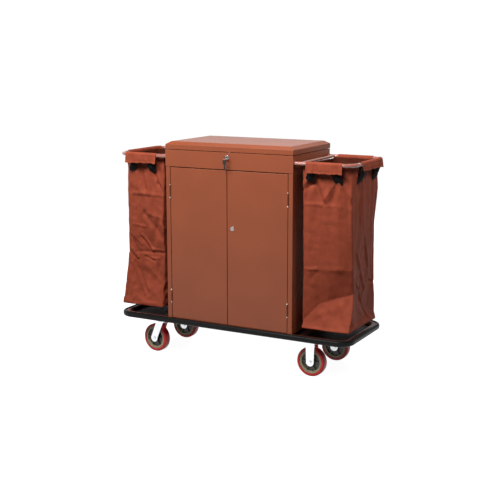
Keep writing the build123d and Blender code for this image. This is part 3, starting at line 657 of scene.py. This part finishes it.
# Creases by panel: start and end as (across, height), half width, height; mm.
RIGHT_FOLDS = {
    FRONT: (
        ((392, 880), (500, 880), 16, 4.0),
        ((500, 880), (600, 874), 22, 2.0),
        ((392, 556), (470, 560), 14, 4.0),
        ((470, 560), (665, 564), 20, 2.5),
        ((430, 985), (432, 557), 40, 3.5),
        ((588, 985), (596, 573), 44, 5.0),
        ((462, 990), (512, 895), 26, -10.0),
        ((484, 1000), (520, 900), 20, 6.5),
        ((575, 990), (520, 910), 26, 8.5),
        ((578, 990), (560, 900), 24, -8.5),
        ((604, 1000), (655, 915), 24, 9.0),
        ((614, 980), (652, 880), 20, -7.5),
        ((446, 990), (410, 900), 24, -9.0),
        ((436, 1005), (400, 975), 16, 7.5),
        ((440, 975), (396, 940), 16, -6.5),
        ((648, 900), (656, 740), 12, 4.0),
        ((400, 1030), (404, 960), 8, 3.0),
        ((418, 1030), (420, 965), 8, 3.0),
        ((470, 372), (520, 290), 30, 3.0),
        ((560, 400), (610, 290), 34, -4.0),
        ((600, 380), (640, 262), 30, 3.5),
        ((420, 320), (560, 350), 26, 3.0),
    ),
    END: (
        ((-55, 1000), (-3, 740), 26, 5.0),
        ((-110, 980), (-70, 800), 30, -4.0),
        ((6, 700), (60, 560), 20, -3.5),
        ((30, 700), (84, 560), 24, 4.0),
        ((-130, 630), (-6, 445), 26, -4.0),
        ((-110, 640), (20, 450), 30, 4.5),
        ((-120, 482), (112, 262), 14, 5.0),
        ((90, 470), (190, 450), 12, -6.0),
        ((100, 1000), (130, 700), 34, 4.0),
        ((150, 900), (160, 560), 26, -3.5),
        ((-60, 360), (20, 300), 22, 2.5),
    ),
    REAR: (
        ((420, 870), (640, 880), 22, 6.0),
        ((410, 560), (650, 556), 22, -6.5),
        ((590, 985), (500, 860), 34, 8.0),
        ((460, 985), (500, 850), 34, -8.0),
        ((500, 850), (510, 560), 34, 3.0),
    ),
    INNER: (
        ((-150, 870), (150, 880), 20, 4.0),
        ((-150, 560), (150, 556), 20, -4.0),
    ),
}
# Facets of the right bag: it is drawn in above a foot whose front corner stands out.
RIGHT_NET = {
    FRONT: (
        ((394, 1036, 0), (660, 1036, 0)),
        ((394, 880, 4), (430, 880, 2), (588, 880, 5), (660, 890, 15)),
        ((394, 560, 6), (430, 560, 7), (588, 562, 24), (660, 566, 42)),
        ((394, 284, 8), (480, 378, 40), (549, 404, 54), (660, 440, 68)),
        ((394, 258, 0), (660, 258, 0)),
    ),
    END: (
        ((-186, 1036, 0), (186, 1036, 0)),
        ((-186, 780, 3), (-30, 760, 2), (186, 740, 9)),
        ((-186, 560, 2), (40, 600, 15), (186, 500, 8)),
        ((-186, 450, 4), (-60, 400, 24), (60, 340, 18), (186, 290, 6)),
        ((-186, 258, 0), (186, 258, 0)),
    ),
    REAR: (
        ((394, 1036, 0), (660, 1036, 0)),
        ((394, 700, 16), (660, 760, 36)),
        ((394, 440, 20), (660, 450, 32)),
        ((394, 330, 12), (660, 380, 20)),
        ((394, 258, 4), (660, 258, 14)),
    ),
    INNER: (
        ((-186, 1036, 0), (186, 1036, 0)),
        ((-186, 560, 4), (186, 560, 8)),
        ((-186, 258, 0), (186, 258, 0)),
    ),
}
LEFT_FOLDS = {
    FRONT: (
        ((610, 868), (396, 864), 15, 4.2),
        ((520, 764), (400, 738), 15, 4.2),
        ((605, 546), (396, 550), 13, -4.7),
        ((500, 566), (396, 566), 13, 3.8),
        ((466, 1000), (440, 925), 15, -6.4),
        ((440, 925), (398, 872), 15, -6.4),
        ((448, 1000), (424, 930), 15, 4.7),
        ((485, 990), (505, 880), 26, 6.8),
        ((590, 1000), (560, 880), 26, 6.8),
        ((560, 990), (530, 890), 22, -6.8),
        ((625, 1000), (640, 880), 20, -5.4),
        ((540, 760), (410, 640), 26, -8.1),
        ((520, 820), (500, 640), 34, 5.4),
        ((572, 628), (498, 546), 9, -5.6),
        ((560, 642), (488, 560), 13, 5.6),
        ((620, 700), (540, 690), 13, 3.8),
        ((640, 650), (570, 590), 15, 3.8),
        ((655, 640), (600, 560), 13, -4.7),
        ((645, 575), (590, 515), 11, 7.5),
        ((652, 545), (600, 500), 11, -6.4),
        ((628, 490), (522, 316), 11, 6.4),
        ((612, 492), (508, 316), 13, -5.6),
        ((545, 520), (470, 500), 11, -4.7),
        ((500, 515), (440, 520), 11, 3.8),
        ((530, 470), (430, 400), 26, 5.4),
        ((480, 440), (460, 300), 30, -4.1),
        ((640, 820), (610, 640), 26, 5.4),
        ((590, 340), (600, 256), 13, 3.8),
        ((562, 330), (564, 256), 13, -3.8),
        ((630, 360), (646, 256), 13, -3.8),
        ((612, 330), (624, 256), 11, 3.8),
        ((500, 350), (420, 290), 26, 4.7),
    ),
    END: (
        ((-130, 960), (-60, 760), 26, 5.0),
        ((120, 970), (60, 720), 26, -5.0),
        ((-180, 545), (180, 560), 18, -5.0),
        ((-120, 470), (100, 280), 20, 6.0),
        ((-170, 530), (-90, 500), 16, 7.0),
        ((40, 700), (90, 560), 18, 5.0),
    ),
    REAR: (
        ((420, 870), (640, 866), 20, 4.0),
        ((410, 556), (650, 560), 20, -4.5),
        ((590, 985), (520, 880), 24, 5.0),
        ((500, 850), (510, 560), 34, 3.0),
    ),
    INNER: (
        ((-150, 866), (150, 860), 20, 4.0),
        ((-150, 552), (150, 560), 20, -4.0),
    ),
}
# Facets of the left bag, which leans outwards below a kink.
LEFT_NET = {
    FRONT: (
        ((394, 1036, 4), (660, 1036, 8)),
        ((394, 866, 0), (530, 880, 0), (660, 930, 4)),
        ((394, 690, 2), (480, 760, 4), (660, 860, 8)),
        ((394, 550, 34), (530, 560, 46), (660, 548, 22)),
        ((394, 400, 40), (530, 430, 48), (660, 480, 20)),
        ((394, 258, 22), (660, 258, 4)),
    ),
    END: (
        ((-186, 1036, 6), (186, 1036, 4)),
        ((-186, 781, 20), (0, 780, 8), (186, 740, 16)),
        ((-186, 548, 13), (0, 560, 16), (186, 540, 12)),
        ((-186, 363, 4), (0, 380, 8), (186, 363, 4)),
        ((-186, 258, 0), (186, 258, 0)),
    ),
    REAR: (
        ((394, 1036, 0), (660, 1036, 0)),
        ((394, 700, 10), (660, 760, 20)),
        ((394, 440, 12), (660, 450, 16)),
        ((394, 258, 2), (660, 258, 6)),
    ),
    INNER: (
        ((-186, 1036, 0), (186, 1036, 0)),
        ((-186, 866, 2), (186, 866, 2)),
        ((-186, 560, 20), (186, 560, 10)),
        ((-186, 400, 20), (186, 400, 8)),
        ((-186, 258, 10), (186, 258, 0)),
    ),
}
# amount is how crumpled the cloth is; swing is how far the foot leans out from the cabinet.
RIGHT_LOOK = {"folds": RIGHT_FOLDS, "net": RIGHT_NET, "seed": 3, "amount": 0.32,
              "swing": 0.0, "soft_from": 930 * MM}
LEFT_LOOK = {"folds": LEFT_FOLDS, "net": LEFT_NET, "seed": 11, "amount": 0.7,
             "swing": 26 * MM, "soft_from": 800 * MM}
HEM_HEIGHT = 1073 * MM
INNER_HEM_HEIGHT = 1067 * MM
HEM_BAND = 24 * MM
HEM_FLARE, HEM_FLARE_HEIGHT = 3.5 * MM, 45 * MM
MOUTH_HEIGHT = 1030 * MM
KINK_HEIGHT = 560 * MM
CALM_FOOT = 50 * MM
CORNER_REACH = 30 * MM
HANG_GROWTH, HANG_LIMIT = 0.006, 4 * MM
BAG_SHEET = 1.6 * MM
TOP_CORNER = 54 * MM
LOW_CORNER = 9 * MM
BAG_COLUMNS = 360
BAG_ROWS = 216
BASE_RINGS = 6
COARSE = 4


def gathers(u, z, straps, seed):
    """Pleats that run down from the hem, deepest at the straps."""
    start, reach = HEM_HEIGHT - 25 * MM, 140 * MM
    strap_pull, pleat_width, pleat_height = 42 * MM, 15 * MM, 150 * MM
    depth = np.clip(1 - (start - z) / reach, 0, 1)
    near = np.max([np.exp(-(((u - strap) / strap_pull) ** 2)) for strap in straps], axis=0)
    waves = lattice_noise(u / pleat_width, z / pleat_height, seed)
    return ((1.6 + 2.2 * near) * waves * depth - 3.0 * near * depth ** 3) * MM


def near_corner(places, half, middle):
    """0 at the ends of a panel, rising to 1 a little way from them."""
    return np.clip((half - np.abs(places - middle)) / CORNER_REACH, 0, 1)


def wall_moves(net, panels, x, y, z):
    """How far facets move the walls along x and y; a wall's ends go with the walls beside it."""
    def depth(panel, u):
        return net_depth(net[panel], u / MM, z / MM) * MM

    def on(panel, move):
        return np.where(panels == panel, move, 0)

    inner_x, end_x = 0 * x + BAG_X - BAG_HALF_X, 0 * x + BAG_X + BAG_HALF_X
    front_y, rear_y = 0 * y - BAG_HALF_Y, 0 * y + BAG_HALF_Y
    to_end = np.clip((x - inner_x) / (end_x - inner_x), 0, 1)
    to_rear = np.clip((y - front_y) / (rear_y - front_y), 0, 1)
    along_x = on(INNER, depth(INNER, y)) - on(END, depth(END, y))
    for panel, at in ((FRONT, front_y), (REAR, rear_y)):
        along_x += on(panel, depth(INNER, at) * (1 - to_end) - depth(END, at) * to_end)
    along_y = on(FRONT, depth(FRONT, x)) - on(REAR, depth(REAR, x))
    for panel, at in ((END, end_x), (INNER, inner_x)):
        along_y += on(panel, depth(FRONT, at) * (1 - to_rear) - depth(REAR, at) * to_rear)
    return along_x, along_y


def wall_push(folds, panels, x, y, z, hem, seed, amount):
    """How far creases, crumples and gathers stand out from each wall."""
    push = np.zeros_like(z)
    for panel in (FRONT, END, REAR, INNER):
        along, half, middle, straps = x, BAG_HALF_X, BAG_X, FRONT_STRAPS[1]
        if panel in (END, INNER):
            along, half, middle, straps = y, BAG_HALF_Y, 0.0, END_STRAPS
        free = near_corner(along, half, middle)
        here = crease_push(folds[panel], along / MM, z / MM) * MM
        here += crumple(along / MM, z / MM, seed + panel, amount) * MM
        here *= 0.35 + 0.65 * free
        here += gathers(along, z, straps, seed + panel) * free * (0.5 if panel == END else 1.0)
        here *= 1 - 0.7 * np.clip(1 - (z - bag_low.z) / CALM_FOOT, 0, 1)
        if panel != INNER:
            here += HEM_FLARE * np.clip(1 - (hem - z) / HEM_FLARE_HEIGHT, 0, 1) ** 2 * free
        push += np.where(panels == panel, here, 0)
    return push + np.where(hem - z < HEM_BAND, 0.9 * MM, 0)


def bag_walls(columns, rows, folds, net, seed, amount, swing, soft_from):
    """Grid of the four walls, row by row from the hem down; corners are soft above soft_from."""
    low, outs, panels = bag_outline(columns, LOW_CORNER)
    high = bag_outline(columns, TOP_CORNER)[0]
    columns = len(panels)
    foot = bag_low.z
    hem = np.where(panels == INNER, INNER_HEM_HEIGHT, HEM_HEIGHT)
    hem = hem + 1.5 * MM * lattice_noise(np.arange(columns) / columns * 40, 0.0 * hem, seed)
    z = hem - (hem - foot) * np.linspace(0, 1, rows)[:, None]
    outer = np.clip((low[:, 0] + BAG_HALF_X) / BAG_HALF_X, 0, 1)
    rounded = (outer * np.clip((z - soft_from) / (MOUTH_HEIGHT - soft_from), 0, 1))[..., None]
    place = low * (1 - rounded) + high * rounded
    x, y = low[:, 0] + BAG_X, low[:, 1]
    push = wall_push(folds, panels, x, y, z, hem, seed, amount)
    along_x, along_y = wall_moves(net, panels, x, y, z)
    out_x = place[..., 0] + outs[:, 0] * push + along_x + BAG_X
    out_x += swing * np.clip((KINK_HEIGHT - z) / (KINK_HEIGHT - foot), 0, 1)
    out_y = place[..., 1] + outs[:, 1] * push + along_y
    lower = np.clip(1 - (z - foot) / (30 * MM), 0, 1)
    wave = 60 * MM
    out_z = z + 2.0 * MM * lattice_noise(x / wave, y / wave, seed) * lower
    return np.stack([out_x, out_y, out_z], axis=-1)


def bag_base(ring):
    """Rings of points from the foot's edge to near its middle."""
    middle = ring.mean(axis=0)
    shares = np.linspace(0, 0.97, BASE_RINGS + 1)[1:, None, None]
    rings = ring + (middle - ring) * shares
    rings[..., 2] = middle[2] - 2 * MM
    return rings


def between_rows(field, rows, columns):
    """Spreads a coarse grid of moves over a finer grid; its columns go round."""
    row_at = np.linspace(0, field.shape[0] - 1, rows)
    column_at = (np.arange(columns) + 0.5) / columns * field.shape[1] - 0.5
    low_row = np.minimum(row_at.astype(int), field.shape[0] - 2)
    part_row = (row_at - low_row)[:, None, None]
    low_column = np.floor(column_at).astype(int)
    part_column = (column_at - low_column)[None, :, None]
    after = (low_column + 1) % field.shape[1]
    low_column = low_column % field.shape[1]
    level = field[:, low_column] * (1 - part_column) + field[:, after] * part_column
    return level[low_row] * (1 - part_row) + level[low_row + 1] * part_row


def hang(coarse):
    """Moves of a coarse bag as its cloth hangs from the hem over its foot."""
    rows, columns = coarse.shape[:2]
    points = coarse.reshape(-1, 3)
    faces = grid_faces(rows, columns, closed=True)
    held = points[:, 2] > MOUTH_HEIGHT
    held[(rows - 1) * columns:] = True
    pinned = np.flatnonzero(held).tolist()
    return settle(points, faces, pinned, HANG_GROWTH, HANG_LIMIT).reshape(rows, columns, 3)


def make_bag(name, side, look):
    """Open cloth bag with creases, hung from its hoop."""
    walls = bag_walls(BAG_COLUMNS, BAG_ROWS, **look)
    rows, columns = walls.shape[:2]
    coarse = bag_walls(BAG_COLUMNS // COARSE, BAG_ROWS // COARSE, **look)
    walls = walls + between_rows(hang(coarse), rows, columns)
    grid = np.concatenate([walls, bag_base(walls[-1])])
    grid[..., 0] *= side
    faces = grid_faces(rows + BASE_RINGS, columns, closed=True)
    last = (rows + BASE_RINGS - 1) * columns
    faces.append(tuple(range(last, last + columns)))
    if side > 0:
        faces = [tuple(reversed(face)) for face in faces]
    piece = mesh_object(f"{name}_bag_shell", grid.reshape(-1, 3), faces, bag_cloth)
    # The inner face takes the painted-shade copy of the bag cloth.
    thicken(piece, BAG_SHEET, 0, bag_inside_painted_shade)
    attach(piece, "cart_frame")
    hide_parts(f"{name}_bag")


# ---- straps -------------------------------------------------------------------------------
STRAP_THICKNESS = 1.8 * MM
STRAP_WIDTH = 47 * MM
END_STRAP_WIDTH = 72 * MM
STRAP_TOP = 1046 * MM
STRAP_DROP = 58 * MM
STRAP_OUT = 14 * MM
STRAP_GAP = 4 * MM
STRAP_ROWS, STRAP_COLUMNS = 18, 12
FRONT_SLANTS, END_SLANT = (-9 * MM, 16 * MM), -15 * MM


def strap_points(start, out, way, width, slant, seed):
    """A strap from inside the flap down and in to the bag: rows of points across its width."""
    points = []
    for row in range(STRAP_ROWS):
        along = row / (STRAP_ROWS - 1)
        reach = (1 - along) ** 1.3 * STRAP_OUT + STRAP_GAP
        reach += 4 * MM * math.sin(math.pi * along) * (1 + wave_noise(seed, along * 3, 1.7))
        widen = 0.80 + 0.25 * math.sin(2.6 * along) + 0.10 * wave_noise(seed, along * 2, 5.1)
        for column in range(STRAP_COLUMNS):
            share = column / (STRAP_COLUMNS - 1) - 0.5
            height = STRAP_TOP - (STRAP_DROP + 0.5 * slant * share) * along
            height += 6.0 * MM * wave_noise(share * 4, seed, 2.0) * along
            curl = 3.5 * MM * math.cos(share * 2 * math.pi) * math.sin(math.pi * along)
            across_it = share * width * widen + slant * along
            across_it += 9 * MM * share * wave_noise(math.copysign(3.0, share), along * 4, seed)
            bumpy = 1.6 * MM * wave_noise(share * 4, along * 5, seed)
            spot = start + out * (reach + curl + bumpy) + way * across_it
            points.append((spot.x, spot.y, height))
    return points


def make_straps(side, name):
    """Six webbing straps joined into one piece: two on each outer wall of the bag."""
    straps = []
    for x, slant in zip(FRONT_STRAPS[side], FRONT_SLANTS):
        for wall in (-1, 1):
            spot = Vector((x, wall * BAG_HALF_Y))
            straps.append((spot, Vector((0, wall)), Vector((1, 0)), STRAP_WIDTH, slant))
    for y in END_STRAPS:
        spot = Vector((BAG_X + BAG_HALF_X, y))
        straps.append((spot, Vector((1, 0)), Vector((0, 1)), END_STRAP_WIDTH, END_SLANT))
    points, faces = [], []
    for index, (start, out, way, width, slant) in enumerate(straps):
        strip = strap_points(start, out, way, width, slant, 5.3 * index + side)
        first = len(points)
        points += [(side * x, y, z) for x, y, z in strip]
        quads = grid_faces(STRAP_ROWS, STRAP_COLUMNS)
        flip = side * (out.y * way.x - out.x * way.y) > 0
        for quad in quads:
            face = tuple(first + corner for corner in quad)
            faces.append(face if flip else tuple(reversed(face)))
    piece = mesh_object(f"{name}_bag_webbing", points, faces, webbing)
    thicken(piece, STRAP_THICKNESS, 1)
    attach(piece, "cart_frame")
    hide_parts(f"{name}_bag_straps")


# ---- stage, lights and camera -------------------------------------------------------------
def make_stage():
    """Pale floor that curves up into a wall all round; it glows, dimmer towards +X."""
    floor_radius, bend, wall = 6.0, 3.0, 7.0
    profile = [(0.4, 0.0), (2.0, 0.0), (4.0, 0.0), (floor_radius, 0.0)]
    for step in range(1, 13):
        angle = step / 12 * math.pi / 2
        profile.append((floor_radius + bend * math.sin(angle), bend * (1 - math.cos(angle))))
    profile.append((floor_radius + bend, wall))
    around = 96
    points = []
    for radius, z in profile:
        for index in range(around):
            angle = 2 * math.pi * index / around
            points.append((radius * math.cos(angle), radius * math.sin(angle), z))
    faces = grid_faces(len(profile), around, closed=True)
    faces.append(tuple(range(around)))
    material, shader = new_material("studio_white", (0.5, 0.5, 0.5), 0.9, specular=0.0)
    shader.inputs["Emission Color"].default_value = (1, 1, 1, 1)
    shader.inputs["Emission Strength"].default_value = 0.95
    # The backdrop's glow dims towards +X, so shiny faces turned that way reflect a dark side:
    # painted shade in the surroundings.
    aside = add_node(material, "ShaderNodeVectorMath", operation="DOT_PRODUCT")
    aside.inputs[1].default_value = Vector((0.95, 0.30, 0)) / (floor_radius + bend)
    link(material, object_space(material), aside.inputs[0])
    stops = [(0.19, (1, 1, 1)), (0.34, (0.4, 0.4, 0.4))]
    glow = colour_ramp(material, aside.outputs["Value"], stops)
    link(material, glow, shader.inputs["Emission Color"])
    backdrop = mesh_object("studio_backdrop", points, faces, material)
    backdrop.data.polygons.foreach_set("use_smooth", [False] * len(backdrop.data.polygons))
    backdrop.visible_diffuse = False


def softbox(name, place, target, width, height, power, mirrored=False):
    light = bpy.data.lights.new(name, "AREA")
    light.shape = "RECTANGLE"
    light.size = width
    light.size_y = height
    light.energy = power
    lamp = bpy.data.objects.new(name, light)
    lamp.location = place
    lamp.rotation_euler = (Vector(target) - Vector(place)).to_track_quat("-Z", "Y").to_euler()
    lamp.visible_camera = False
    lamp.visible_glossy = mirrored
    bpy.context.scene.collection.objects.link(lamp)


def make_lights():
    softbox("key_light", (-0.30, -2.1, 3.1), (0, 0, 0.8), 2.4, 1.0, 142, mirrored=True)
    softbox("top_light", (-1.1, 0.45, 3.5), (0, 0, 1.1), 2.4, 0.6, 6, mirrored=True)
    softbox("right_light", (1.5, -0.15, 2.3), (0.66, 0, 0.9), 0.5, 0.5, 15)
    softbox("rear_light", (-1.2, 4.6, 2.4), (0, 0, 0.9), 3.0, 2.0, 60)
    world = bpy.data.worlds.new("studio_air")
    world.use_nodes = True
    world.node_tree.nodes["Background"].inputs["Color"].default_value = (1, 1, 1, 1)
    world.node_tree.nodes["Background"].inputs["Strength"].default_value = 0.07
    bpy.context.scene.world = world


CAMERA_PLACE = (2.4772, -4.6032, 1.6010)
CAMERA_DOWN, CAMERA_LEFT = 11.063, 28.18
CAMERA_LENS = 72.59


def make_camera():
    camera = bpy.data.cameras.new("studio_camera")
    camera.lens = CAMERA_LENS
    camera.sensor_width = 36.0
    camera.clip_end = 60.0
    holder = bpy.data.objects.new("studio_camera", camera)
    holder.location = CAMERA_PLACE
    holder.rotation_euler = (math.radians(90 - CAMERA_DOWN), 0, math.radians(CAMERA_LEFT))
    bpy.context.scene.collection.objects.link(holder)
    bpy.context.scene.camera = holder
    bpy.context.scene.view_settings.view_transform = "Standard"


# ---- build --------------------------------------------------------------------------------
dress_cad_nodes()
make_bag("right", 1, RIGHT_LOOK)
make_bag("left", -1, LEFT_LOOK)
for side, name in ((1, "right"), (-1, "left")):
    make_flaps(side, name)
    make_straps(side, name)
make_stage()
make_lights()
make_camera()
